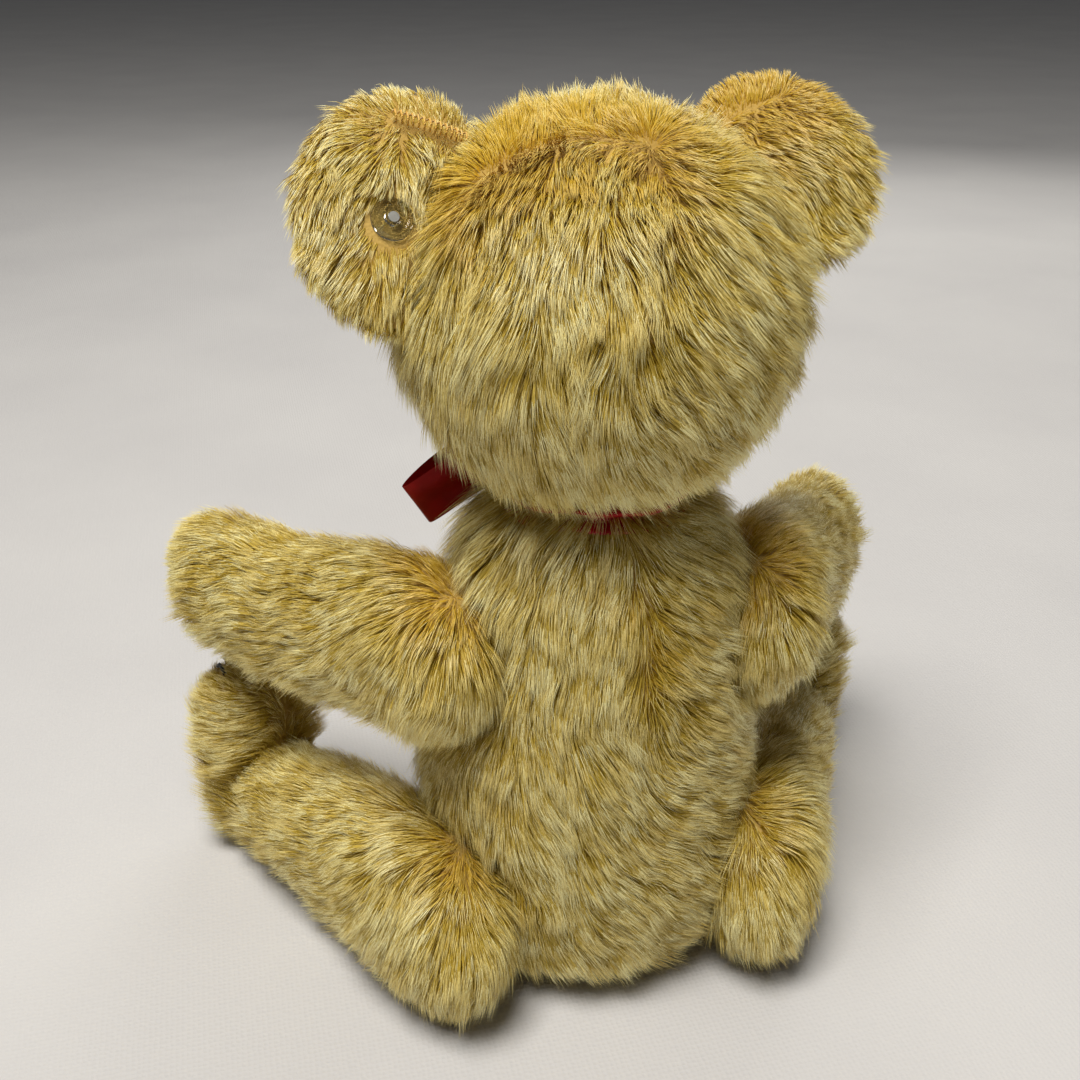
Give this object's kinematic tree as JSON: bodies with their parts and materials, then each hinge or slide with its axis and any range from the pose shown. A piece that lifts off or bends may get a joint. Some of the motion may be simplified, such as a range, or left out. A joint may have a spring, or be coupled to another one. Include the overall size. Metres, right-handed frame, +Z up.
{
  "type": "jointed teddy bear",
  "caption": "Sitting mohair teddy bear with disc joints at the neck, shoulders and hips, felt paws, a ribbon bow and a plain snap in one ear.",
  "frame": {"origin": "middle of the flat seat on the underside of the body", "axes": "-Y the way the face looks, +X the bear's own left side, +Z up; the bear sits with its legs forward and its arms raised forward"},
  "size_m": [0.2183, 0.1252, 0.237],
  "materials": {
    "mohair": "long silky straw-blond pile on an amber woven backing",
    "stuffing": "packed wool and fibre filling, matte",
    "felt": "short dense wool felt, matte",
    "black_thread": "twisted cotton thread in satin stitches",
    "red_satin": "woven satin ribbon, soft gloss",
    "eye_glass": "polished amber glass with a black pupil",
    "stud_plastic": "gloss",
    "clear_plastic": "clear, polished",
    "fibreboard": "pressed fibreboard, matte",
    "steel": "plain drawn wire and stamped washers"
  },
  "bodies": {
    "body": {"body_cover": "mohair", "body_stuffing": "stuffing", "neck_ribbon": "red_satin", "neck_body_disc": "fibreboard", "neck_body_washer": "steel", "left_shoulder_body_disc": "fibreboard", "left_shoulder_body_washer": "steel", "right_shoulder_body_disc": "fibreboard", "right_shoulder_body_washer": "steel", "left_hip_body_disc": "fibreboard", "left_hip_body_washer": "steel", "right_hip_body_disc": "fibreboard", "right_hip_body_washer": "steel"},
    "head": {"head_cover": "mohair", "head_stuffing": "stuffing", "left_ear": "mohair", "right_ear": "mohair", "left_eye": "eye_glass", "right_eye": "eye_glass", "nose": "black_thread", "mouth_stitching": "black_thread", "ear_snap_stud": "stud_plastic", "ear_snap_ring": "clear_plastic", "neck_head_disc": "fibreboard", "neck_head_washer": "steel", "neck_pin": "steel"},
    "left_arm": {"left_arm_cover": "mohair", "left_arm_stuffing": "stuffing", "left_paw_pad": "felt", "left_paw_claws": "black_thread", "left_arm_disc": "fibreboard", "left_arm_washer": "steel", "left_arm_pin": "steel"},
    "right_arm": {"right_arm_cover": "mohair", "right_arm_stuffing": "stuffing", "right_paw_pad": "felt", "right_paw_claws": "black_thread", "right_arm_disc": "fibreboard", "right_arm_washer": "steel", "right_arm_pin": "steel"},
    "left_leg": {"left_leg_cover": "mohair", "left_leg_stuffing": "stuffing", "left_foot_pad": "felt", "left_foot_claws": "black_thread", "left_leg_disc": "fibreboard", "left_leg_washer": "steel", "left_leg_pin": "steel"},
    "right_leg": {"right_leg_cover": "mohair", "right_leg_stuffing": "stuffing", "right_foot_pad": "felt", "right_foot_claws": "black_thread", "right_leg_disc": "fibreboard", "right_leg_washer": "steel", "right_leg_pin": "steel"}
  },
  "joints": [
    {"name": "neck", "type": "hinge", "parent": "body", "child": "head", "pos_m": [0, 0, 0.148], "axis": [0, 0, 1], "continuous": true},
    {"name": "left_shoulder", "type": "hinge", "parent": "body", "child": "left_arm", "pos_m": [0.031, 0.002, 0.106], "axis": [-0.9703, -0.2419, 0], "range_deg": [-8, 210]},
    {"name": "right_shoulder", "type": "hinge", "parent": "body", "child": "right_arm", "pos_m": [-0.031, 0.002, 0.106], "axis": [-0.9703, 0.2419, 0], "range_deg": [-4, 210]},
    {"name": "left_hip", "type": "hinge", "parent": "body", "child": "left_leg", "pos_m": [0.032, 0.01, 0.028], "axis": [-0.9703, -0.2419, 0], "range_deg": [-220, 6]},
    {"name": "right_hip", "type": "hinge", "parent": "body", "child": "right_leg", "pos_m": [-0.032, 0.01, 0.028], "axis": [-0.9703, 0.2419, 0], "range_deg": [-220, 0]}
  ]
}
